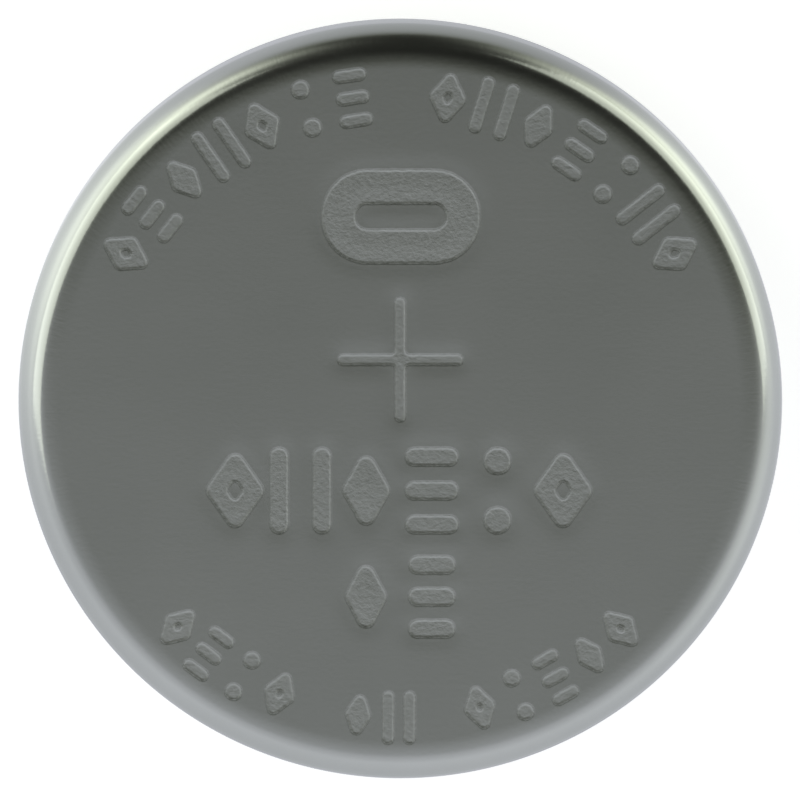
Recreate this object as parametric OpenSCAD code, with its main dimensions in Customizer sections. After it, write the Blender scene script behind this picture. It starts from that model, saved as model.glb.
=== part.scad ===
// Lithium coin cell, 12.5 mm across and 2 mm high.
// It lies on its negative cap: the origin is the middle of the cap's contact face,
// +Z runs up through the flat positive face, and all sizes are millimetres.
// Every piece is a revolved section about the Z axis.

/* [Cell] */
// Outside diameter of the positive can
can_d = 12.5; // [11:0.1:15]
// Height between the two contact faces
cell_h = 2; // [1.6:0.1:3.2]
// Gap left at each curved seat between two pieces
seat_gap = 0.01; // [0.008:0.001:0.02]

/* [Positive can] */
// Thickness of the can's steel sheet
can_t = 0.2; // [0.15:0.01:0.25]
// Outside radius between the positive face and the wall
corner_r = 0.5; // [0.4:0.01:0.65]
// Outside radius of the edge that is curled over the seal
crimp_r = 0.85; // [0.7:0.01:1]
// Flat length of the curled edge past its radius
crimp_lip = 0.05; // [0.03:0.01:0.1]
// Height of the curled edge above the negative contact face
crimp_rise = 0.1; // [0.05:0.01:0.15]

/* [Negative cap] */
// Thickness of the cap's steel sheet
cap_t = 0.2; // [0.15:0.01:0.24]
// Width of the ring between the can's wall and the cap's raised middle
rim_w = 1.2; // [1:0.01:1.4]
// Outside radius round the contact face
shoulder_r = 0.28; // [0.24:0.01:0.34]
// Inside radius between the raised middle and the flange
step_r = 0.1; // [0.06:0.01:0.14]

/* [Sealing gasket] */
// Thickness of the gasket between the can and the cap
gasket_t = 0.22; // [0.18:0.01:0.26]
// Thickness of the foot between the cap's skirt and the can's floor
foot_t = 0.3; // [0.2:0.01:0.4]
// Thickness of the short leg inside the skirt
leg_t = 0.2; // [0.15:0.01:0.3]
// Height of that leg above the foot
leg_h = 0.35; // [0.2:0.01:0.5]

/* [Electrodes] */
// Thickness of the lithium disc
anode_t = 0.35; // [0.25:0.01:0.45]
// Distance of the lithium disc's edge from the cap's shoulder
anode_margin = 0.45; // [0.3:0.01:0.8]
// Thickness of the separator
separator_t = 0.15; // [0.1:0.01:0.2]
// Height of the separator's upturned rim
separator_h = 0.7; // [0.4:0.01:0.8]
// Inside radius at the foot of that rim
separator_r = 0.06; // [0.04:0.01:0.08]
// Distance of the separator's rim from the cap
electrode_gap = 0.12; // [0.08:0.01:0.2]
// Thickness of the cathode ring's sheet
ring_t = 0.08; // [0.06:0.01:0.1]
// Height of the cathode ring
ring_h = 0.6; // [0.4:0.01:0.7]
// Width of the cathode ring's foot
ring_w = 0.6; // [0.4:0.01:1]
// Bevel round the pellet's pressed edge
pellet_bevel = 0.08; // [0.06:0.01:0.1]

/* [Hidden] */
$fn = 96;
// How far a cutting shape reaches past the shape that it cuts
past = 0.5;

// Positive can: its radius, the height of its floor and the centre of its curled edge
can_r = can_d / 2;
floor_z = cell_h - can_t;
crimp_x = can_r - crimp_r;
crimp_z = crimp_rise + crimp_r;
// Gasket: its outer and inner radius beside the wall
gasket_out = can_r - can_t - seat_gap;
gasket_in = gasket_out - gasket_t;
// Negative cap: the skirt, the flange that the crimp holds, and the raised middle
skirt_out = gasket_in - seat_gap;
skirt_in = skirt_out - cap_t;
skirt_end = floor_z - foot_t;
bend_r = skirt_out - crimp_x;
flange_z = crimp_z - bend_r;
middle_r = can_r - rim_w;
step_x = middle_r + step_r;
step_z = flange_z - step_r;
contact_r = middle_r - shoulder_r;
// Gasket: the leg inside the skirt
leg_out = skirt_in - seat_gap;
leg_in = leg_out - leg_t;
leg_end = skirt_end - leg_h;
// Stack inside the cell: each piece lies on the one below
anode_z = cap_t;
anode_r = contact_r - anode_margin;
separator_z = anode_z + anode_t;
separator_out = middle_r - cap_t - electrode_gap;
separator_in = separator_out - separator_t;
pellet_z = separator_z + separator_t;
ring_out = separator_in - seat_gap;
ring_in = ring_out - ring_t;
pellet_r = ring_in - seat_gap;
foot_in = ring_out - ring_w;

// Rectangle of a section, from its lower corner to its upper one
module block(x0, z0, x1, z1) {
  translate([x0, z0])
    square([x1 - x0, z1 - z0]);
}

// Sheet bent through a right angle about (x, z): out_x and out_z are 1 or -1
// and point from the bend's centre to its outside
module bend(x, z, outside_r, t, out_x, out_z) {
  translate([x, z])
    intersection() {
      difference() {
        circle(outside_r);
        circle(outside_r - t);
      }
      translate([min(out_x, 0) * outside_r, min(out_z, 0) * outside_r])
        square(outside_r);
    }
}

// Deep-drawn steel cup, mouth down, with its edge curled in over the seal
module positive_can() {
  color([0.66, 0.67, 0.64])
    rotate_extrude() {
      block(0, floor_z, can_r - corner_r, cell_h);
      bend(can_r - corner_r, cell_h - corner_r, corner_r, can_t, 1, 1);
      block(can_r - can_t, crimp_z, can_r, cell_h - corner_r);
      bend(crimp_x, crimp_z, crimp_r, can_t, 1, -1);
      block(crimp_x - crimp_lip, crimp_rise, crimp_x, crimp_rise + can_t);
    }
}

// Cavity of the gasket: the slot for the cap's skirt and the space inside the leg
module gasket_slot() {
  block(leg_out, crimp_z - past, gasket_in, skirt_end);
  block(leg_in - past, crimp_z - past, gasket_in, leg_end);
}

// Moulded ring of J section, gripped by the crimp round the cap's flange and skirt
module sealing_gasket() {
  inside_r = corner_r - can_t;
  color([0.86, 0.87, 0.84])
    rotate_extrude() {
      difference() {
        union() {
          block(leg_in, crimp_z, gasket_out - inside_r, floor_z);
          block(leg_in, crimp_z, gasket_out, floor_z - inside_r);
          translate([gasket_out - inside_r, floor_z - inside_r])
            circle(inside_r);
        }
        gasket_slot();
      }
      bend(crimp_x, crimp_z, gasket_out - crimp_x, gasket_t, 1, -1);
      block(step_x + seat_gap, flange_z - seat_gap - gasket_t, crimp_x, flange_z - seat_gap);
    }
}

// Drawn steel cap: contact face, step, flange under the crimp, and skirt
module negative_cap() {
  color([0.7, 0.7, 0.69])
    rotate_extrude() {
      block(0, 0, contact_r, cap_t);
      bend(contact_r, shoulder_r, shoulder_r, cap_t, 1, -1);
      block(middle_r - cap_t, shoulder_r, middle_r, step_z);
      bend(step_x, step_z, step_r + cap_t, cap_t, -1, 1);
      block(step_x, flange_z, crimp_x, flange_z + cap_t);
      bend(crimp_x, crimp_z, bend_r, cap_t, 1, -1);
      block(skirt_in, crimp_z, skirt_out, skirt_end);
    }
}

// Disc of lithium pressed onto the inside of the cap
module lithium_anode() {
  color([0.78, 0.78, 0.8])
    translate([0, 0, anode_z])
      cylinder(r = anode_r, h = anode_t);
}

// Non-woven dish between the electrodes, its rim turned up round the cathode
module separator() {
  rim_r = separator_r + separator_t;
  color([0.95, 0.95, 0.93])
    rotate_extrude() {
      block(0, separator_z, separator_out - rim_r, pellet_z);
      bend(separator_out - rim_r, separator_z + rim_r, rim_r, separator_t, 1, -1);
      block(separator_in, separator_z + rim_r, separator_out, pellet_z + separator_h);
    }
}

// Pressed pellet of manganese dioxide, rebated for the ring's foot
module cathode_pellet() {
  color([0.16, 0.16, 0.17])
    translate([0, 0, pellet_z]) {
      cylinder(r1 = pellet_r - pellet_bevel, r2 = pellet_r, h = pellet_bevel);
      translate([0, 0, pellet_bevel])
        cylinder(r = pellet_r, h = floor_z - ring_t - pellet_z - pellet_bevel);
      cylinder(r = foot_in - seat_gap, h = floor_z - pellet_z);
    }
}

// Steel ring of L section that carries the pellet and meets the can's floor
module cathode_ring() {
  color([0.62, 0.62, 0.62])
    rotate_extrude() {
      block(ring_in, floor_z - ring_h, ring_out, floor_z);
      block(foot_in, floor_z - ring_t, ring_out, floor_z);
    }
}

positive_can();
sealing_gasket();
negative_cap();
lithium_anode();
separator();
cathode_pellet();
cathode_ring();
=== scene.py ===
from math import cos, pi, radians, sin, tan

import bpy
import numpy as np
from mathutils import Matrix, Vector
from mathutils.geometry import delaunay_2d_cdt


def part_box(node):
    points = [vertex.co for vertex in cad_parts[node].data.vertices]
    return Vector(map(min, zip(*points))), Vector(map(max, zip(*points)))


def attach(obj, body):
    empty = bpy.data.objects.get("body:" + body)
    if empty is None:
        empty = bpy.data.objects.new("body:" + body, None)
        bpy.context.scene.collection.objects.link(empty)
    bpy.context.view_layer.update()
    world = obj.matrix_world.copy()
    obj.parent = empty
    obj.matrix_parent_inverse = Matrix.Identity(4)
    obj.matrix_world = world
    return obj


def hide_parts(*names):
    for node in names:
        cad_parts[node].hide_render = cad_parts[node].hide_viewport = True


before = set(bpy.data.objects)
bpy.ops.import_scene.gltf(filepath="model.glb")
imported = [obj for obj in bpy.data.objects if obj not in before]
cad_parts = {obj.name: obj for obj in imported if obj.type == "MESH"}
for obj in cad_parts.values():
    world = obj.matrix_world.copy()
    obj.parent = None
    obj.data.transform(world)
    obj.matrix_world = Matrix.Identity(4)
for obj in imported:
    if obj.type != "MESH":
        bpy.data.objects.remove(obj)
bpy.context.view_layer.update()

# Lithium coin cell lying on its negative cap, positive face up.
# Shapes are worked out in millimetres and written to the meshes in metres.
MM = 0.001

# Driving sizes of the sheet metal and the seal, as on the solids
CORNER_R = 0.5
CAN_T = 0.2
CRIMP_R = 0.85
CRIMP_LIP = 0.05
CAP_T = 0.2
RIM_W = 1.2
SHOULDER_R = 0.28
STEP_R = 0.1
SEAT_GAP = 0.01
GASKET_T = 0.22
LEG_T = 0.2
LEG_H = 0.35
SEPARATOR_T = 0.15
SEPARATOR_R = 0.06
RING_T = 0.08
RING_W = 0.6
PELLET_BEVEL = 0.08

# Finish of the edges
CROWN_START = 0.7       # distance from the wall at which the face begins to fall
CROWN_ANGLE = 5.5       # slope in degrees at which the fall runs into the corner
SHEARED_R = 0.03        # rounding of the cut sheet edges
PRESSED_R = 0.02        # rounding of the pressed and moulded edges

# Resolution and tolerances
ROUND = 384             # facets round the visible pieces
ROUND_INSIDE = 192      # facets round the enclosed pieces
ARC_STEPS = 16          # steps along a wide bend
TIGHT_STEPS = 8         # steps along a tight bend
EDGE_STEPS = 4          # steps along a rounded sheet edge
CROWN_STEPS = 3         # steps from the stamped disc to the corner
MARK_STEPS = 10         # steps along a mark's rounded corner
BLOCK = 2000            # places that are worked on at once, to spare memory
SHARP_ANGLE = 35.0      # angle in degrees from which two facets meet in a sharp edge
TINY = 1e-6             # distance below which two points are one
POLE_DIGITS = 7         # decimals to which points are compared at the axis

# Stamped marks
MARK_DEPTH = 0.008      # depth of a mark's floor below the face
EDGE_HALF = 0.036       # half the width of a mark's sloping edge
# Rings of points across that edge, as shares of EDGE_HALF from its middle
EDGE_RINGS = np.array([-1.0, -0.62, -0.25, 0.1, 0.45, 0.75, 1.0])
EDGE_WOBBLE = 0.0025    # swing of each wave by which an outline strays from its drawn line
WOBBLE_WAVES = (        # those waves, in radians a millimetre along X and Y, and their phase
    (21, 9, 0),
    (-26, 17, 2),
    (43, 37, 0),
)
OUTLINE_STEP = 0.05     # spacing of points along a mark's outline
DISH_DEPTH = 0.0035     # how far the sheet is drawn down beside a mark
DISH_REACH = 0.13       # how far that reaches
DISH_LIMIT = 4.5        # radius past which the stiff corner holds the sheet up
FILL_STEP = 0.075       # spacing of the points between the marks
FILL_CLEAR = 0.024      # distance kept by those points from a mark's edge
FILL_RIM = 0.6          # share of their spacing that they keep from the disc's rim
NEAR_SHARE = 0.7        # share of the straight distance to an outline that counts as clear
FACE_R = 5.7            # radius of the stamped disc, short of the corner
ROUND_END = 0.48        # rounding of a bar's ends, as a share of its stroke
LEVEL_SHARE = 0.86      # width of the level bars, as a share of their place
SLIM_SHARE = 0.8        # width of the solid lozenge, as a share of its place
BEAD_STROKES = 1.5      # width of a bead, in strokes
OFF_AXIS = 100.0        # shift that keeps a mark's corners off the axis while they are rounded

# Layout of the face: x to the right, y to the top, a mark's size as width, height and stroke
PLUS_REACH = 2.02
PLUS_STROKE = 0.155
PLUS_ROUND = 0.065
PLUS_AT = (0.0, 0.78)
PILL_SIZE = (2.56, 1.52)
PILL_ROUND = 0.74
PILL_AT = (0.01, 3.13)
ISLAND_SIZE = (1.5, 0.44)
ISLAND_ROUND = 0.21
UPPER_ARC_R = 5.13
UPPER_ENDS = (-60.5, 60.5)          # bearings of the first and the last mark from the top
UPPER_MARK = (0.6, 0.92, 0.18)
UPPER_GAPS = (7,)                   # marks, counted from 0, before which a place is empty
LOWER_ARC_R = 5.15
LOWER_ENDS = (225, 135.5)
LOWER_MARK = (0.52, 0.86, 0.17)
LOWER_GAPS = (4, 6)
LONG_ROW = (-2.7, 2.66, -1.38)      # x of the first and the last mark, and their y
LONG_ROW_MARK = (0.98, 1.4, 0.28)
SHORT_ROW = (-0.56, 0.52, -3.14)
SHORT_ROW_MARK = (0.86, 1.34, 0.28)

# Surface finish
POLISH_START = 5.5      # radius at which the drawn, polished edge begins
POLISH_FULL = 5.75      # radius from which it is fully polished
LINES_ROUND = 110.0     # drawing marks, in waves per unit circle's radius
LINE_DEPTH = 0.0006     # depth of the drawing marks
EDGE_POLISH = 0.055     # roughness that the polished edge loses
SUNK_RANGE = (0.1, 0.6)             # share sunk at which the floors' finish begins and is full
PIT_SCALE = 13000.0     # pits of the stamped floors, in waves a metre
PIT_DEPTH = 0.005       # depth of the pits
PIT_ROUGHNESS = (0.04, 0.19)        # roughness that the floors gain, by the pits
CLOUD_SCALE = 420.0     # clouds in the tone of sheet steel, in waves a metre
GRAIN_SCALE = 14000.0   # its satin grain, in waves a metre
CLOUD_SHARE = 0.8       # share of the clouds in the tone; the rest is grain
HAIR_SHARE = 0.55       # share of the hair lines in the gloss; the rest is grain
HAIR_STRETCH = 0.04     # how fast the hair lines change along X, as a share of across
HAIR_TURN = 18          # turn of their noise in degrees
MOTTLE_SWING = 0.08     # how far the roughness of dull matter strays to either side


def span(node):
    """Greatest radius and the lowest and highest level of a CAD node, in millimetres."""
    low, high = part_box(node)
    return high[0] / MM, low[2] / MM, high[2] / MM


def arc(x, z, radius, start, end, steps=ARC_STEPS):
    """Points of a circle round (x, z) from one angle in degrees to another."""
    turn = np.radians(np.linspace(start, end, steps + 1))
    return np.stack([x + radius * np.cos(turn), z + radius * np.sin(turn)], axis=1)


def chain(*runs):
    """One run of points from several, each a list of pairs or an array."""
    return np.concatenate([np.reshape(run, (-1, 2)) for run in runs])


def eased(points, radius, steps=EDGE_STEPS):
    """Closed outline whose corners are replaced by arcs of one radius.

    At each corner the arc is tangent to both sides. It starts radius * tan(turn / 2) before
    the corner, and its normal swings from one side's normal to the next one's. Corners on
    the axis stay sharp.
    """
    points = np.asarray(points, float)
    into = points - np.roll(points, 1, axis=0)
    into /= np.linalg.norm(into, axis=1, keepdims=True)
    out = np.roll(into, -1, axis=0)
    turn = np.arctan2(into[:, 0] * out[:, 1] - into[:, 1] * out[:, 0], (into * out).sum(1))
    side = np.sign(turn)
    round_r = np.where(points[:, 0] > radius, radius, 0.0)
    start = points - into * (round_r * np.tan(np.abs(turn) / 2))[:, None]
    left = np.stack([-into[:, 1], into[:, 0]], axis=1)
    centre = start + left * (round_r * side)[:, None]
    angle = np.arctan2(-left[:, 1] * side, -left[:, 0] * side)
    swing = angle[:, None] + turn[:, None] * np.linspace(0, 1, steps + 1)
    arcs = np.stack([np.cos(swing), np.sin(swing)], axis=2) * round_r[:, None, None]
    return (centre[:, None, :] + arcs).reshape(-1, 2)


def distinct(profile):
    """The profile without points that repeat the one before."""
    far = np.linalg.norm(profile - np.roll(profile, 1, axis=0), axis=1) > TINY
    return profile[far]


def write_mesh(name, points, faces):
    """Mesh object at the origin from points in millimetres and rows of four corners.

    A corner that repeats the next one is left out, so that a row can stand for a triangle,
    and a row with fewer than three corners left makes no face.
    """
    kept = faces != np.roll(faces, -1, axis=1)
    kept[kept.sum(axis=1) < 3] = False
    corners = faces[kept]
    count = kept.sum(axis=1)
    count = count[count > 0]
    mesh = bpy.data.meshes.new(name)
    mesh.vertices.add(len(points))
    mesh.vertices.foreach_set("co", (points * MM).ravel())
    mesh.loops.add(len(corners))
    mesh.loops.foreach_set("vertex_index", corners)
    mesh.polygons.add(len(count))
    mesh.polygons.foreach_set("loop_start", np.cumsum(count) - count)
    mesh.polygons.foreach_set("use_smooth", np.ones(len(count), bool))
    mesh.update(calc_edges=True)
    mesh.set_sharp_from_angle(angle=radians(SHARP_ANGLE))
    mesh.validate()
    piece = bpy.data.objects.new(name, mesh)
    bpy.context.scene.collection.objects.link(piece)
    return piece


def revolved(profile, facets, closed):
    """Points and faces of a profile of (radius, height) carried once round the Z axis.

    Point (i, j) stands at radius[j] * (cos a, sin a) and height[j], with a = 2 pi i / facets.
    A closed profile joins its last point to its first. The profile runs clockwise in the
    (radius, height) plane, so that the faces point outwards.
    """
    a = 2 * pi * np.arange(facets) / facets
    r, z = profile[:, 0], profile[:, 1]
    points = np.stack([
        np.cos(a)[:, None] * r,
        np.sin(a)[:, None] * r,
        np.broadcast_to(z, (facets, len(z))),
    ], axis=2).reshape(-1, 3)
    count = len(profile)
    j = np.arange(count if closed else count - 1)
    i = np.arange(facets)[:, None]
    here, there = i * count, (i + 1) % facets * count
    faces = np.stack([
        here + j, here + (j + 1) % count, there + (j + 1) % count, there + j,
    ], axis=2).reshape(-1, 4)
    return points, faces


def join_poles(points, faces):
    """The same mesh with all points on the axis at one height made one point."""
    key = np.round(points, POLE_DIGITS)
    on_axis = np.hypot(key[:, 0], key[:, 1]) < TINY
    key[on_axis, :2] = 0.0
    _, first, same = np.unique(key, axis=0, return_index=True, return_inverse=True)
    kept = np.sort(first)
    place = np.full(len(points), -1)
    place[kept] = np.arange(len(kept))
    return points[kept], place[first[same.ravel()]][faces]


def revolved_piece(name, profile, facets):
    """Closed piece of revolution from a closed clockwise profile."""
    points, faces = revolved(distinct(profile), facets, True)
    return write_mesh(name, *join_poles(points, faces))


# Levels and radii that the solids give
can_r, crimp_z_low, face_z = span("positive_can")
skirt_r, _, skirt_z = span("negative_cap")
gasket_r, gasket_low, floor_z = span("sealing_gasket")
crimp_x, crimp_z = can_r - CRIMP_R, crimp_z_low + CRIMP_R
bend_r = skirt_r - crimp_x
flange_z = crimp_z - bend_r
middle_r = can_r - RIM_W
step_x, step_z = middle_r + STEP_R, flange_z - STEP_R
contact_r = middle_r - SHOULDER_R

# Fall of the face towards the corner: a parabola that meets the corner's arc at one slope
crown_x = can_r - CROWN_START
corner_x = can_r - CORNER_R
crown_end = corner_x + CORNER_R * sin(radians(CROWN_ANGLE))
crown_curve = (crown_end - crown_x) / tan(radians(CROWN_ANGLE))
crown_drop = (crown_end - crown_x) ** 2 / (2 * crown_curve)
corner_z = face_z - crown_drop - CORNER_R * cos(radians(CROWN_ANGLE))


def crown(r):
    """Fall of the face at a radius: the square of the way past crown_x over twice the curve."""
    past = np.maximum(r - crown_x, 0.0)
    return past ** 2 / (2 * crown_curve)


def resampled(points, step):
    """Closed outline at equal steps, as points and unit normals to its right-hand side."""
    points = distinct(points)
    loop = np.concatenate([points, points[:1]])
    length = np.concatenate([[0.0], np.cumsum(np.linalg.norm(np.diff(loop, axis=0), axis=1))])
    count = max(12, int(round(length[-1] / step)))
    along = length[-1] * np.arange(count) / count
    even = np.stack([np.interp(along, length, loop[:, k]) for k in (0, 1)], axis=1)
    run = np.roll(even, -1, axis=0) - np.roll(even, 1, axis=0)
    run /= np.linalg.norm(run, axis=1, keepdims=True)
    return even, np.stack([run[:, 1], -run[:, 0]], axis=1)


def wobbled(points, normals):
    """Outline pushed along its normals by three crossed waves, as a worn stamp leaves it."""
    x, y = points.T
    waves = sum(np.sin(over * x + up * y + phase) for over, up, phase in WOBBLE_WAVES)
    return points + normals * (EDGE_WOBBLE / 2 * waves)[:, None]


def lozenge(width, height):
    """Corners of an upright lozenge about the origin, counter-clockwise."""
    return np.array([(width / 2, 0), (0, height / 2), (-width / 2, 0), (0, -height / 2)])


def bar(width, height, x=0.0, y=0.0):
    """Corners of an upright bar about (x, y), counter-clockwise."""
    w, h = width / 2, height / 2
    return np.array([(x + w, y - h), (x + w, y + h), (x - w, y + h), (x - w, y - h)])


def plus_sign(reach, stroke):
    """Corners of the polarity sign: two crossed bars as one outline of twelve corners."""
    a, b = reach / 2, stroke / 2
    quarter = np.array([(a, -b), (a, b), (b, b)])
    turns = [np.array([(cos(t), sin(t)), (-sin(t), cos(t))]) for t in (0, pi / 2, pi, 3 * pi / 2)]
    return np.concatenate([quarter @ turn for turn in turns])


# A motif is a list of (corners, rounding, island): an island stands up inside a sunk shape
def ring_lozenge(width, height, stroke):
    """Sunk lozenge with a lozenge standing in it, so that a band of one stroke is left."""
    slant = stroke * np.hypot(width, height)
    inside = lozenge(width - 2 * slant / height, height - 2 * slant / width)
    return [(lozenge(width, height), stroke / 2, False), (inside, stroke / 4, True)]


def twin_bars(width, height, stroke):
    """Two sunk bars with round ends, a stroke wide."""
    x = (width - stroke) / 2
    return [(bar(stroke, height, side * x), ROUND_END * stroke, False) for side in (-1, 1)]


def level_bars(width, height, stroke):
    """Three sunk level bars with round ends, stacked to the full height."""
    y = (height - stroke) / 2
    width = LEVEL_SHARE * width
    return [(bar(width, stroke, 0, place * y), ROUND_END * stroke, False) for place in (-1, 0, 1)]


def solid_lozenge(width, height, stroke):
    """Sunk lozenge, slimmer than its place."""
    return [(lozenge(SLIM_SHARE * width, height), stroke / 2, False)]


def bead(width, height, stroke):
    """Two sunk round dots, one above the other."""
    across = BEAD_STROKES * stroke
    y = (height - across) / 2
    return [(bar(across, across, 0, side * y), ROUND_END * across, False) for side in (-1, 1)]


def on_arc(motifs, radius, first, last, size, gaps, inward):
    """Motifs spread along an arc about the face's centre.

    first and last are the bearings of the end motifs in degrees clockwise from the top, and
    gaps gives the places, counted in motifs, before which an empty place is left. A motif's
    top points away from the centre, or to it where inward is true.
    """
    order = np.arange(len(motifs))
    places = order + sum(order >= gap for gap in gaps)
    bearings = np.radians(first + (last - first) * places / places[-1])
    placed = []
    for make, bearing in zip(motifs, bearings):
        turn = -bearing + (pi if inward else 0.0)
        at = radius * np.array([sin(bearing), cos(bearing)])
        placed.append((make(*size), turn, at))
    return placed


def in_row(motifs, x_first, x_last, y, size):
    """Motifs in a level row, their centres spread evenly from one x to the other."""
    return [(make(*size), 0.0, np.array([x, y])) for make, x in
            zip(motifs, np.linspace(x_first, x_last, len(motifs)))]


def face_marks():
    """All marks of the positive face, as (motif, turn, place)."""
    a, b, c, d, e = ring_lozenge, twin_bars, solid_lozenge, bead, level_bars
    plus = (plus_sign(PLUS_REACH, PLUS_STROKE), PLUS_ROUND, False)
    pill = (bar(*PILL_SIZE), PILL_ROUND, False)
    island = (bar(*ISLAND_SIZE), ISLAND_ROUND, True)
    marks = [([plus], 0.0, np.array(PLUS_AT)), ([pill, island], 0.0, np.array(PILL_AT))]
    marks += on_arc([a, e, c, b, a, d, e, a, b, c, e, d, b, a], UPPER_ARC_R, *UPPER_ENDS,
                    UPPER_MARK, UPPER_GAPS, False)
    marks += on_arc([a, e, d, a, c, b, a, d, e, c, a], LOWER_ARC_R, *LOWER_ENDS,
                    LOWER_MARK, LOWER_GAPS, True)
    marks += in_row([a, b, c, e, d, a], *LONG_ROW, LONG_ROW_MARK)
    marks += in_row([c, e], *SHORT_ROW, SHORT_ROW_MARK)
    return marks


def mark_outlines():
    """Every outline of the marks on the face, as points and normals that leave the sunk side."""
    points, normals, loops = [], [], []
    start = 0
    for motif, turn, at in face_marks():
        spin = np.array([(cos(turn), sin(turn)), (-sin(turn), cos(turn))])
        for corners, rounding, island in motif:
            shape = eased(corners + OFF_AXIS, rounding, MARK_STEPS) - OFF_AXIS
            even, normal = resampled(shape, OUTLINE_STEP)
            points.append(even @ spin + at)
            normals.append((-normal if island else normal) @ spin)
            loops.append((start, len(even)))
            start += len(even)
    points, normals = np.concatenate(points), np.concatenate(normals)
    return wobbled(points, normals), normals, loops


def blocks(where):
    """The places in runs of about BLOCK."""
    return np.array_split(where, max(1, len(where) // BLOCK))


def nearest(where, points):
    """Index of the nearest outline point to each place."""
    return np.concatenate([
        ((block[:, None, :] - points) ** 2).sum(2).argmin(1) for block in blocks(where)
    ])


def dish(where, points):
    """Depth to which the stamp draws the sheet down, and its slope along X and Y.

    Each outline point adds a bell curve of width DISH_REACH, scaled so that a long straight
    edge draws the sheet down by DISH_DEPTH beside it.
    """
    scale = DISH_DEPTH * OUTLINE_STEP / (DISH_REACH * np.sqrt(2 * pi))
    depth, slope = [], []
    for block in blocks(where):
        away = block[:, None, :] - points
        bell = scale * np.exp(-(away ** 2).sum(2) / (2 * DISH_REACH ** 2))
        depth.append(bell.sum(1))
        slope.append(-(bell[:, :, None] * away).sum(1) / DISH_REACH ** 2)
    return np.concatenate(depth), np.concatenate(slope)


def stamped_disc():
    """The positive face: points, normals, how far each point is sunk (0 to 1), and triangles.

    A mark's edge is one profile carried along its outline: the offset t runs across the edge
    from -EDGE_HALF at the floor to EDGE_HALF at the face, and the sheet is sunk by the smooth
    step 1 - (3 u^2 - 2 u^3), with u the share of the way. The floors and the face between the
    marks are filled with a triangular net of points, and the whole follows the crown and the
    dish beside the marks. The outer ring has the points of the revolved corner.
    """
    path, normal, loops = mark_outlines()
    offsets = EDGE_RINGS * EDGE_HALF
    strips = path[None] + normal[None] * offsets[:, None, None]
    row_step = FILL_STEP * np.sqrt(0.75)
    rows = np.arange(-FACE_R, FACE_R, row_step)
    columns = np.arange(-FACE_R, FACE_R, FILL_STEP)
    x, y = np.meshgrid(columns, rows)
    x = x + (np.arange(len(rows)) % 2)[:, None] * FILL_STEP / 2
    net = np.stack([x.ravel(), y.ravel()], axis=1)
    net = net[np.hypot(net[:, 0], net[:, 1]) < FACE_R - FILL_RIM * FILL_STEP]
    close = nearest(net, path)
    apart = net - path[close]
    off_edge = np.abs((apart * normal[close]).sum(1))
    straight = np.linalg.norm(apart, axis=1)
    far = np.maximum(off_edge, straight * NEAR_SHARE) > EDGE_HALF + FILL_CLEAR
    net, close, apart = net[far], close[far], apart[far]
    sunk_net = ((apart * normal[close]).sum(1) < 0).astype(float)
    a = 2 * pi * np.arange(ROUND) / ROUND
    rim = FACE_R * np.stack([np.cos(a), np.sin(a)], axis=1)

    plan = np.concatenate([rim, strips.reshape(-1, 2), net])
    ring_edges = [
        (ROUND + row * len(path) + start + np.arange(count),
         ROUND + row * len(path) + start + (np.arange(count) + 1) % count)
        for row in range(len(offsets)) for start, count in loops
    ]
    edges = np.concatenate([np.stack(pair, axis=1) for pair in ring_edges])
    _, _, faces, origin, _, _ = delaunay_2d_cdt(plan.tolist(), edges.tolist(), [], 0, TINY)
    source = np.array([ids[0] for ids in origin])
    triangles = source[np.array(faces)]

    u = (EDGE_RINGS + 1) / 2
    sunk_edge = 1 - u ** 2 * (3 - 2 * u)
    slope_edge = MARK_DEPTH * 6 * u * (1 - u) / (2 * EDGE_HALF)
    sunk = np.concatenate([np.zeros(ROUND), np.repeat(sunk_edge, len(path)), sunk_net])
    slope = np.zeros((len(plan), 2))
    slope[ROUND:ROUND + strips.size // 2] = (slope_edge[:, None, None] * normal[None]).reshape(-1, 2)
    depth, dish_slope = dish(plan, path[np.hypot(path[:, 0], path[:, 1]) < DISH_LIMIT])
    radius = np.hypot(plan[:, 0], plan[:, 1])
    fall = np.maximum(radius - crown_x, 0.0) / crown_curve
    slope -= dish_slope + plan * (fall / np.maximum(radius, TINY))[:, None]
    height = face_z - crown(radius) - depth - MARK_DEPTH * sunk
    height[:ROUND] = face_z - crown(FACE_R)
    points = np.column_stack([plan, height])
    normals = np.column_stack([-slope, np.ones(len(plan))])
    normals /= np.linalg.norm(normals, axis=1, keepdims=True)
    return points, normals, sunk, triangles


def can_outline():
    """Section of the can from the stamped disc round the corner, wall, crimp and inside."""
    crown_r = np.linspace(FACE_R, crown_end, CROWN_STEPS + 1)[:-1]
    lip_x, lip_top = crimp_x - CRIMP_LIP, crimp_z_low + CAN_T
    return chain(
        np.stack([crown_r, face_z - crown(crown_r)], axis=1),
        arc(corner_x, corner_z, CORNER_R, 90 - CROWN_ANGLE, 0),
        arc(crimp_x, crimp_z, CRIMP_R, 0, -90),
        arc(lip_x + SHEARED_R, crimp_z_low + SHEARED_R, SHEARED_R, 270, 180, EDGE_STEPS),
        arc(lip_x + SHEARED_R, lip_top - SHEARED_R, SHEARED_R, 180, 90, EDGE_STEPS),
        arc(crimp_x, crimp_z, CRIMP_R - CAN_T, -90, 0),
        arc(corner_x, floor_z - CORNER_R + CAN_T, CORNER_R - CAN_T, 0, 90),
        (0.0, floor_z),
    )


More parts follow.
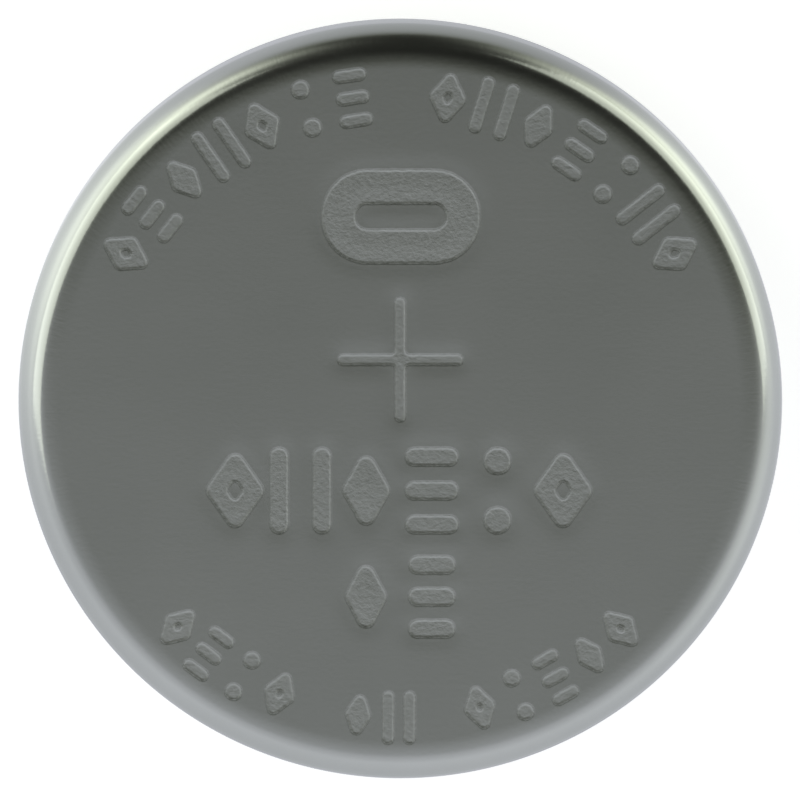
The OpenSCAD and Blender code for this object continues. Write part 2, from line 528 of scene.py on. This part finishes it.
def make_can():
    """Positive can: the stamped disc and the revolved section share their ring of points."""
    face, normals, sunk, triangles = stamped_disc()
    shell, quads = revolved(can_outline(), ROUND, False)
    count = len(shell) // ROUND
    place = len(face) + np.arange(len(shell))
    place[::count] = np.arange(ROUND)
    place[count - 1::count] = len(face) + count - 1
    faces = np.concatenate([np.column_stack([triangles, triangles[:, 2]]), place[quads]])
    used, faces = np.unique(faces, return_inverse=True)
    points = np.concatenate([face, shell])[used]
    piece = write_mesh("can_shell", points, faces.reshape(-1, 4))
    on_face = used < len(face)
    values = np.zeros(len(used))
    values[on_face] = sunk[used[on_face]]
    piece.data.attributes.new("sunk", "FLOAT", "POINT").data.foreach_set("value", values)
    wanted = np.zeros((len(used), 3))
    wanted[on_face] = normals[used[on_face]]
    piece.data.normals_split_custom_set_from_vertices(wanted.tolist())
    return piece


def make_cap():
    """Negative cap: contact face, step, flange and skirt, drawn from one sheet."""
    return revolved_piece("cap_shell", chain(
        (0.0, CAP_T),
        arc(contact_r, SHOULDER_R, SHOULDER_R - CAP_T, -90, 0, TIGHT_STEPS),
        arc(step_x, step_z, STEP_R + CAP_T, 180, 90),
        arc(crimp_x, crimp_z, bend_r - CAP_T, -90, 0),
        arc(skirt_r - CAP_T + SHEARED_R, skirt_z - SHEARED_R, SHEARED_R, 180, 90, EDGE_STEPS),
        arc(skirt_r - SHEARED_R, skirt_z - SHEARED_R, SHEARED_R, 90, 0, EDGE_STEPS),
        arc(crimp_x, crimp_z, bend_r, 0, -90),
        arc(step_x, step_z, STEP_R, 90, 180, TIGHT_STEPS),
        arc(contact_r, SHOULDER_R, SHOULDER_R, 0, -90),
        (0.0, 0.0),
    ), ROUND)


def make_gasket():
    """Seal of J section: leg, foot, wall, and the lip that shows beside the crimp."""
    leg_out = skirt_r - CAP_T - SEAT_GAP
    leg_in = leg_out - LEG_T
    wall_in = gasket_r - GASKET_T
    inside_r = CORNER_R - CAN_T
    lip_in, lip_top = step_x + SEAT_GAP, gasket_low + GASKET_T
    foot = skirt_z
    return revolved_piece("gasket_ring", chain(
        arc(leg_in + PRESSED_R, foot - LEG_H + PRESSED_R, PRESSED_R, 270, 180, EDGE_STEPS),
        arc(leg_in + PRESSED_R, floor_z - PRESSED_R, PRESSED_R, 180, 90, EDGE_STEPS),
        arc(gasket_r - inside_r, floor_z - inside_r, inside_r, 90, 0),
        arc(crimp_x, crimp_z, gasket_r - crimp_x, 0, -90),
        arc(lip_in + 2 * PRESSED_R, gasket_low + 2 * PRESSED_R, 2 * PRESSED_R, 270, 180, EDGE_STEPS),
        arc(lip_in + PRESSED_R, lip_top - PRESSED_R, PRESSED_R, 180, 90, EDGE_STEPS),
        arc(crimp_x, crimp_z, wall_in - crimp_x, -90, 0),
        [(wall_in, foot), (leg_out, foot)],
        arc(leg_out - PRESSED_R, foot - LEG_H + PRESSED_R, PRESSED_R, 0, -90, EDGE_STEPS),
    ), ROUND)


def make_anode():
    """Lithium disc with its cut edge just rounded."""
    r, low, high = span("lithium_anode")
    return revolved_piece("lithium_disc", chain(
        (0.0, high),
        arc(r - PRESSED_R, high - PRESSED_R, PRESSED_R, 90, 0, EDGE_STEPS),
        arc(r - PRESSED_R, low + PRESSED_R, PRESSED_R, 0, -90, EDGE_STEPS),
        (0.0, low),
    ), ROUND_INSIDE)


def make_separator():
    """Separator dish: a sheet with its rim turned up round the cathode."""
    r, low, high = span("separator")
    rim_r = SEPARATOR_R + SEPARATOR_T
    x, z = r - rim_r, low + rim_r
    return revolved_piece("separator_dish", chain(
        (0.0, low + SEPARATOR_T),
        arc(x, z, SEPARATOR_R, -90, 0, TIGHT_STEPS),
        [(r - SEPARATOR_T, high), (r, high)],
        arc(x, z, rim_r, 0, -90, TIGHT_STEPS),
        (0.0, low),
    ), ROUND_INSIDE)


def make_pellet():
    """Cathode pellet with its bevel and the rebate for the ring's foot."""
    r, low, high = span("cathode_pellet")
    ring_r = span("cathode_ring")[0]
    boss_r = ring_r - RING_W - SEAT_GAP
    shelf = high - RING_T
    return revolved_piece("pellet", chain(
        [(0.0, high), (boss_r, high), (boss_r, shelf), (r, shelf)],
        [(r, low + PELLET_BEVEL), (r - PELLET_BEVEL, low), (0.0, low)],
    ), ROUND_INSIDE)


def make_ring():
    """Collector ring of L section round the pellet."""
    r, low, high = span("cathode_ring")
    inside, foot = r - RING_T, r - RING_W
    return revolved_piece("collector_ring", np.array([
        (r, high), (r, low), (inside, low), (inside, high - RING_T),
        (foot, high - RING_T), (foot, high),
    ]), ROUND_INSIDE)


class Nodes:
    """A node tree with short calls that add a node, set its sockets and link it."""

    def __init__(self, tree):
        self.tree = tree

    def add(self, kind, settings=None, **sockets):
        """New node: settings are its properties, sockets its inputs by name, _ for a space."""
        node = self.tree.nodes.new(kind)
        for key, value in (settings or {}).items():
            setattr(node, key, value)
        for key, value in sockets.items():
            self.put(node.inputs[key.replace("_", " ")], value)
        return node

    def put(self, socket, value):
        """Links an output to a socket, or sets the socket's own value."""
        if isinstance(value, bpy.types.NodeSocket):
            self.tree.links.new(value, socket)
        else:
            socket.default_value = value

    def math(self, operation, *values):
        """Result of one sum on one to three values."""
        node = self.add("ShaderNodeMath", {"operation": operation})
        for socket, value in zip(node.inputs, values):
            self.put(socket, value)
        return node.outputs[0]

    def blend(self, factor, a, b):
        """Colour between a and b."""
        node = self.add("ShaderNodeMix", {"data_type": "RGBA"})
        self.put(node.inputs[0], factor)
        self.put(node.inputs[6], a)
        self.put(node.inputs[7], b)
        return node.outputs[2]

    def mixed(self, factor, first, second):
        """Mix of two shaders."""
        node = self.add("ShaderNodeMixShader")
        for socket, value in zip(node.inputs, (factor, first, second)):
            self.put(socket, value)
        return node.outputs[0]

    def facing(self, vector, direction):
        """Cosine of the angle between a unit vector and a fixed direction."""
        node = self.add("ShaderNodeVectorMath", {"operation": "DOT_PRODUCT"})
        self.put(node.inputs[0], vector)
        self.put(node.inputs[1], direction)
        return node.outputs["Value"]

    def ramp(self, value, stops):
        """Colour from a list of (place, colour)."""
        node = self.add("ShaderNodeValToRGB")
        self.put(node.inputs[0], value)
        while len(node.color_ramp.elements) < len(stops):
            node.color_ramp.elements.new(0.5)
        for element, (place, colour) in zip(node.color_ramp.elements, stops):
            element.position = place
            element.color = (*colour, 1)
        return node.outputs[0]

    def add_light(self, colour, light, level):
        """Colour with a share of a light added to it: colour + light * level."""
        node = self.add("ShaderNodeVectorMath", {"operation": "MULTIPLY_ADD"})
        self.put(node.inputs[0], level)
        self.put(node.inputs[1], light)
        self.put(node.inputs[2], colour)
        return node.outputs[0]

    def noise(self, vector, scale, detail=2.0, roughness=0.5):
        """Value, 0 to 1, of a noise of so many waves to a unit of the vector."""
        return self.add("ShaderNodeTexNoise", Vector=vector, Scale=scale,
                        Detail=detail, Roughness=roughness).outputs["Fac"]


def sheet_grain_group():
    """Group of the look of rolled sheet: Tone, Gloss and Height from the place on the piece.

    Tone is slow clouds with a little of the fine grain, Gloss the grain with hair lines along
    X, the rolling direction, and Height the grain alone.
    """
    tree = bpy.data.node_groups.new("sheet_grain", "ShaderNodeTree")
    for name, kind in (("Vector", "NodeSocketVector"), ("Cloud Scale", "NodeSocketFloat"),
                       ("Grain Scale", "NodeSocketFloat")):
        tree.interface.new_socket(name, in_out="INPUT", socket_type=kind)
    for name in ("Tone", "Gloss", "Height"):
        tree.interface.new_socket(name, in_out="OUTPUT", socket_type="NodeSocketFloat")
    n = Nodes(tree)
    given = n.add("NodeGroupInput").outputs
    ends = n.add("NodeGroupOutput")
    stretched = n.add("ShaderNodeMapping", Vector=given["Vector"], Scale=(HAIR_STRETCH, 1.0, 1.0),
                      Rotation=(0.0, 0.0, radians(HAIR_TURN))).outputs[0]
    cloud = n.noise(given["Vector"], given["Cloud Scale"], 3.0)
    grain = n.noise(given["Vector"], given["Grain Scale"])
    hair = n.noise(stretched, given["Grain Scale"], 1.0)
    tone = n.math("MULTIPLY_ADD", cloud, CLOUD_SHARE, n.math("MULTIPLY", grain, 1 - CLOUD_SHARE))
    gloss = n.math("MULTIPLY_ADD", hair, HAIR_SHARE, n.math("MULTIPLY", grain, 1 - HAIR_SHARE))
    n.put(ends.inputs["Tone"], tone)
    n.put(ends.inputs["Gloss"], gloss)
    n.put(ends.inputs["Height"], grain)
    return tree


sheet_grain = sheet_grain_group()


def material(name):
    """New material with its node helper, its Principled shader and Object coordinates."""
    made = bpy.data.materials.new(name)
    made.use_nodes = True
    n = Nodes(made.node_tree)
    shader = made.node_tree.nodes["Principled BSDF"]
    place = n.add("ShaderNodeTexCoord").outputs["Object"]
    return made, n, shader, place


def ranged(n, value, low, high):
    """A value of 0 to 1 spread between low and high."""
    return n.add("ShaderNodeMapRange", Value=value, To_Min=low, To_Max=high).outputs[0]


def drawn_edge_group():
    """Group of the drawn corner and wall: Polish rises from 0 on the face to 1 at the corner.

    Lines is a noise read on the unit circle, so that it draws straight marks out over the
    corner and down the wall.
    """
    tree = bpy.data.node_groups.new("drawn_edge", "ShaderNodeTree")
    tree.interface.new_socket("Vector", in_out="INPUT", socket_type="NodeSocketVector")
    for name in ("Polish", "Lines"):
        tree.interface.new_socket(name, in_out="OUTPUT", socket_type="NodeSocketFloat")
    n = Nodes(tree)
    given = n.add("NodeGroupInput").outputs["Vector"]
    flat = n.add("ShaderNodeVectorMath", {"operation": "MULTIPLY"})
    n.put(flat.inputs[0], given)
    n.put(flat.inputs[1], (1.0, 1.0, 0.0))
    radius = n.add("ShaderNodeVectorMath", {"operation": "LENGTH"}, Vector=flat.outputs[0])
    polish = n.add("ShaderNodeMapRange", {"interpolation_type": "SMOOTHSTEP"},
                   Value=radius.outputs["Value"],
                   From_Min=POLISH_START * MM, From_Max=POLISH_FULL * MM).outputs[0]
    unit = n.add("ShaderNodeVectorMath", {"operation": "NORMALIZE"}, Vector=flat.outputs[0])
    round_noise = n.noise(unit.outputs[0], LINES_ROUND, 3.0, 0.7)
    ends = n.add("NodeGroupOutput")
    n.put(ends.inputs["Polish"], polish)
    n.put(ends.inputs["Lines"], n.math("MULTIPLY", round_noise, polish))
    return tree


drawn_edge = drawn_edge_group()


def bumped(n, height, distance, normal=None):
    """Normal of a relief of so many millimetres."""
    node = n.add("ShaderNodeBump", Strength=1.0, Distance=distance * MM, Height=height)
    if normal:
        n.put(node.inputs["Normal"], normal)
    return node.outputs[0]


def steel(name, dark, light, gloss, rough, grain):
    """Satin steel sheet: clouded tone, hair-lined gloss and a fine grain.

    Returns its material, node helper, shader and coordinates, with the roughness and the
    normal, to which a piece can add its own.
    """
    made, n, shader, place = material(name)
    group = n.add("ShaderNodeGroup", {"node_tree": sheet_grain}, Vector=place,
                  Cloud_Scale=CLOUD_SCALE, Grain_Scale=GRAIN_SCALE)
    roughness = ranged(n, group.outputs["Gloss"], gloss, rough)
    normal = bumped(n, group.outputs["Height"], grain)
    n.put(shader.inputs["Base Color"], n.blend(group.outputs["Tone"], dark, light))
    n.put(shader.inputs["Metallic"], 1.0)
    n.put(shader.inputs["Roughness"], roughness)
    n.put(shader.inputs["Normal"], normal)
    return made, n, shader, place, roughness, normal


def can_steel():
    """Steel of the can: its corner and wall are polished and lined by drawing.

    The stamped floors, read from the piece's attribute, are rougher and coarsely pitted.
    """
    made, n, shader, place, roughness, normal = steel(
        "can_steel", dark=(0.505, 0.525, 0.485, 1), light=(0.6, 0.615, 0.575, 1),
        gloss=0.17, rough=0.26, grain=0.0006)
    edge = n.add("ShaderNodeGroup", {"node_tree": drawn_edge}, Vector=place).outputs
    smoother = n.math("MULTIPLY", edge["Polish"], -EDGE_POLISH)
    normal = bumped(n, edge["Lines"], LINE_DEPTH, normal)
    sunk = n.add("ShaderNodeAttribute", {"attribute_name": "sunk"}).outputs["Fac"]
    low, high = SUNK_RANGE
    floor = n.add("ShaderNodeMapRange", Value=sunk, From_Min=low, From_Max=high).outputs[0]
    pits = n.noise(place, PIT_SCALE, 3.0, 0.65)
    rougher = n.math("MULTIPLY", floor, ranged(n, pits, *PIT_ROUGHNESS))
    normal = bumped(n, n.math("MULTIPLY", floor, pits), PIT_DEPTH, normal)
    roughness = n.math("ADD", n.math("ADD", roughness, smoother), rougher)
    n.put(shader.inputs["Roughness"], roughness)
    n.put(shader.inputs["Normal"], normal)
    return made


def cap_steel():
    """Steel of the cap, a little duller than the can's."""
    return steel("cap_steel", dark=(0.54, 0.545, 0.53, 1), light=(0.6, 0.6, 0.585, 1),
                 gloss=0.2, rough=0.32, grain=0.0008)[0]


def ring_steel():
    """Bright steel of the collector ring."""
    return steel("ring_steel", dark=(0.5, 0.5, 0.5, 1), light=(0.56, 0.56, 0.56, 1),
                 gloss=0.15, rough=0.24, grain=0.0004)[0]


def dull(name, dark, light, rough, scale, relief, metallic=0.0):
    """Plain matter with a mottled tone and a fine relief, for the seal and the inner pieces."""
    made, n, shader, place = material(name)
    mottle = n.noise(place, scale, 4.0, 0.6)
    n.put(shader.inputs["Base Color"], n.blend(mottle, dark, light))
    n.put(shader.inputs["Roughness"], ranged(n, mottle, rough - MOTTLE_SWING, rough + MOTTLE_SWING))
    n.put(shader.inputs["Metallic"], metallic)
    n.put(shader.inputs["Normal"], bumped(n, mottle, relief))
    return made


def lithium():
    """Soft rolled lithium metal."""
    return dull("lithium", dark=(0.6, 0.6, 0.63, 1), light=(0.74, 0.74, 0.76, 1),
                rough=0.42, scale=2500.0, relief=0.004, metallic=1.0)


def separator_sheet():
    """Non-woven sheet of the separator."""
    return dull("separator_sheet", dark=(0.74, 0.74, 0.7, 1), light=(0.86, 0.86, 0.83, 1),
                rough=0.8, scale=9000.0, relief=0.02)


def cathode_mix():
    """Black pressed powder of the pellet."""
    return dull("cathode_mix", dark=(0.02, 0.02, 0.022, 1), light=(0.05, 0.05, 0.055, 1),
                rough=0.75, scale=16000.0, relief=0.01)


def gasket_plastic():
    """Pale moulded plastic of the seal."""
    return dull("gasket_plastic", dark=(0.68, 0.69, 0.66, 1), light=(0.78, 0.79, 0.76, 1),
                rough=0.42, scale=6000.0, relief=0.003)


def dress(piece, finish, node):
    """Gives a piece its finish, and puts it in the place of its CAD node."""
    piece.data.materials.append(finish)
    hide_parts(node)
    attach(piece, "root")


dress(make_can(), can_steel(), "positive_can")
dress(make_cap(), cap_steel(), "negative_cap")
dress(make_gasket(), gasket_plastic(), "sealing_gasket")
dress(make_anode(), lithium(), "lithium_anode")
dress(make_separator(), separator_sheet(), "separator")
dress(make_pellet(), cathode_mix(), "cathode_pellet")
dress(make_ring(), ring_steel(), "cathode_ring")

# Studio: a white floor, surroundings with one dark side and soft glows, and two soft lamps
FLOOR_SIZE = 3.0        # metres
FLOOR_GAP = 0.004       # millimetres between the floor and the contact face
FLOOR_WHITE = 0.8
FLOOR_FILL = 0.63       # plain light that lifts the floor to white for the camera
DARK_BEARING = 10       # bearing from the top of the direction that is darkest, in degrees
DARK_FALL = 40          # its fall from the zenith
SKY_LEVELS = (          # angle from that direction in degrees, light level
    (25, 0.02),
    (38, 0.04),
    (42, 0.13),
    (68, 0.58),
    (90, 0.73),
    (180, 0.62),
)
WARM_TINT = (0.96, 1.0, 0.88)       # tint near the dark side and of the glows
COOL_TINT = (0.98, 1.0, 1.1)        # tint far from the dark side
WARM_UNTIL = 45         # angles between which the tint of the light turns from warm to cool
COOL_FROM = 65
GLOWS = (               # bearing, fall from the zenith, strength and focus of a soft light
    (-38, 60, 1.02, 40),
    (-64, 72, 0.95, 8.5),
    (3, 101, 0.05, 12),
    (31, 71, 0.34, 50),
    (55, 74.5, 1.4, 15),
    (78, 74, 0.27, 30),
    (104, 61, 0.22, 8.5),
)
FLOOR_SPREAD = 88.0     # how fast the mirrored floor turns from straight down to level, per metre
FLOOR_DROP = 0.155      # its share of straight down
LAMP_DISTANCE = 0.3     # metres from the origin
LAMPS = (               # name, bearing from the top in degrees, fall from the zenith, size, watts
    ("lamp_left", -72, 43, (0.27, 0.175), 0.104),
    ("lamp_right", 61.5, 50.5, (0.315, 0.16), 0.11),
)
LAMP_TINT = (0.96, 1.0, 0.9)


def towards(bearing, fall):
    """Unit vector at a bearing clockwise from the top of the face and a fall from the zenith."""
    b, f = radians(bearing), radians(fall)
    return Vector((sin(f) * sin(b), sin(f) * cos(b), cos(f)))


def sky_colour(angle, level):
    """Colour of a light level: its tint turns evenly from warm to cool as the angle grows."""
    cool = min(max((angle - WARM_UNTIL) / (COOL_FROM - WARM_UNTIL), 0.0), 1.0)
    return [level * (warm + cool * (cold - warm)) for warm, cold in zip(WARM_TINT, COOL_TINT)]


def surroundings_group():
    """Group that gives the light level of the studio in a direction.

    The level follows the angle from the darkest direction through the stops of SKY_LEVELS.
    Each glow adds strength * max(0, cosine of the angle from its middle) ^ focus.
    """
    tree = bpy.data.node_groups.new("surroundings", "ShaderNodeTree")
    tree.interface.new_socket("Vector", in_out="INPUT", socket_type="NodeSocketVector")
    tree.interface.new_socket("Color", in_out="OUTPUT", socket_type="NodeSocketColor")
    n = Nodes(tree)
    given = n.add("NodeGroupInput").outputs["Vector"]
    way = n.add("ShaderNodeVectorMath", {"operation": "NORMALIZE"}, Vector=given).outputs[0]
    darkest = towards(DARK_BEARING, DARK_FALL)
    angle = n.math("DIVIDE", n.math("ARCCOSINE", n.facing(way, darkest)), pi)
    colour = n.ramp(angle, [(stop / 180, sky_colour(stop, level)) for stop, level in SKY_LEVELS])
    for bearing, fall, strength, focus in GLOWS:
        near = n.math("MAXIMUM", n.facing(way, towards(bearing, fall)), 0.0)
        light = [strength * part for part in WARM_TINT]
        colour = n.add_light(colour, light, n.math("POWER", near, focus))
    n.put(n.add("NodeGroupOutput").inputs["Color"], colour)
    return tree


def add_floor(surroundings):
    """White floor that keeps the cell's shadow, pale in the metal and clear from below."""
    half = FLOOR_SIZE / 2 / MM
    corners = np.array([(x, y, -FLOOR_GAP) for x, y in bar(2 * half, 2 * half)])
    floor = write_mesh("studio_floor", corners, np.array([(0, 1, 2, 3)]))
    made, n, shader, place = material("studio_white")
    n.put(shader.inputs["Base Color"], (FLOOR_WHITE, FLOOR_WHITE, FLOOR_WHITE, 1))
    n.put(shader.inputs["Roughness"], 1.0)
    n.put(shader.inputs["Specular IOR Level"], 0.0)
    ray = n.add("ShaderNodeLightPath").outputs
    way = n.add("ShaderNodeMapping", Vector=place, Location=(0.0, 0.0, -FLOOR_DROP),
                Scale=(FLOOR_SPREAD, FLOOR_SPREAD, 1.0)).outputs[0]
    light = n.add("ShaderNodeGroup", {"node_tree": surroundings}, Vector=way)
    mirrored = n.add("ShaderNodeEmission", Color=light.outputs[0]).outputs[0]
    fill = n.add("ShaderNodeEmission", Strength=n.math("MULTIPLY", ray["Is Camera Ray"], FLOOR_FILL))
    seen = n.add("ShaderNodeAddShader")
    n.put(seen.inputs[0], shader.outputs[0])
    n.put(seen.inputs[1], fill.outputs[0])
    shown = n.math("MAXIMUM", ray["Is Glossy Ray"], ray["Is Transmission Ray"])
    shown = n.math("MAXIMUM", shown, ray["Is Diffuse Ray"])
    top = n.mixed(shown, seen.outputs[0], mirrored)
    below = n.add("ShaderNodeNewGeometry").outputs["Backfacing"]
    clear = n.add("ShaderNodeBsdfTransparent").outputs[0]
    n.put(made.node_tree.nodes["Material Output"].inputs["Surface"], n.mixed(below, top, clear))
    floor.data.materials.append(made)


def add_world(surroundings):
    """Studio all round the cell; the camera sees plain white."""
    world = bpy.data.worlds.new("studio")
    world.use_nodes = True
    bpy.context.scene.world = world
    world.node_tree.nodes.clear()
    n = Nodes(world.node_tree)
    way = n.add("ShaderNodeTexCoord").outputs["Generated"]
    light = n.add("ShaderNodeGroup", {"node_tree": surroundings}, Vector=way)
    soft = n.add("ShaderNodeBackground", Color=light.outputs[0]).outputs[0]
    white = n.add("ShaderNodeBackground", Color=(1, 1, 1, 1)).outputs[0]
    seen = n.add("ShaderNodeLightPath").outputs["Is Camera Ray"]
    n.put(n.add("ShaderNodeOutputWorld").inputs["Surface"], n.mixed(seen, soft, white))


def add_lamp(name, bearing, fall, size, watts):
    """Soft rectangular lamp that faces the cell."""
    data = bpy.data.lights.new(name, "AREA")
    data.shape = "RECTANGLE"
    data.size, data.size_y = size
    data.energy = watts
    data.color = LAMP_TINT
    lamp = bpy.data.objects.new(name, data)
    lamp.location = LAMP_DISTANCE * towards(bearing, fall)
    lamp.rotation_euler = lamp.location.to_track_quat("Z", "Y").to_euler()
    bpy.context.scene.collection.objects.link(lamp)


# Camera: straight above, leaning a little towards the top of the face
CAMERA_LEAN = 8.5       # degrees
CAMERA_DISTANCE = 0.15  # metres from the point that it looks at
CAMERA_AIM = Vector((-0.000005, 0.000012, 0.0013))
CAMERA_LENS = 411.9     # millimetres
CAMERA_CLIP = (0.01, 10.0)


def add_camera():
    """Long lens that looks down on the face, with the face's top at the picture's top."""
    data = bpy.data.cameras.new("camera")
    data.lens = CAMERA_LENS
    data.clip_start, data.clip_end = CAMERA_CLIP
    camera = bpy.data.objects.new("camera", data)
    lean = radians(CAMERA_LEAN)
    camera.location = CAMERA_AIM + CAMERA_DISTANCE * Vector((0.0, sin(lean), cos(lean)))
    camera.rotation_euler = (-lean, 0.0, 0.0)
    bpy.context.scene.collection.objects.link(camera)
    bpy.context.scene.camera = camera


surroundings = surroundings_group()
add_floor(surroundings)
add_world(surroundings)
for lamp in LAMPS:
    add_lamp(*lamp)
add_camera()
bpy.context.scene.view_settings.view_transform = "Standard"
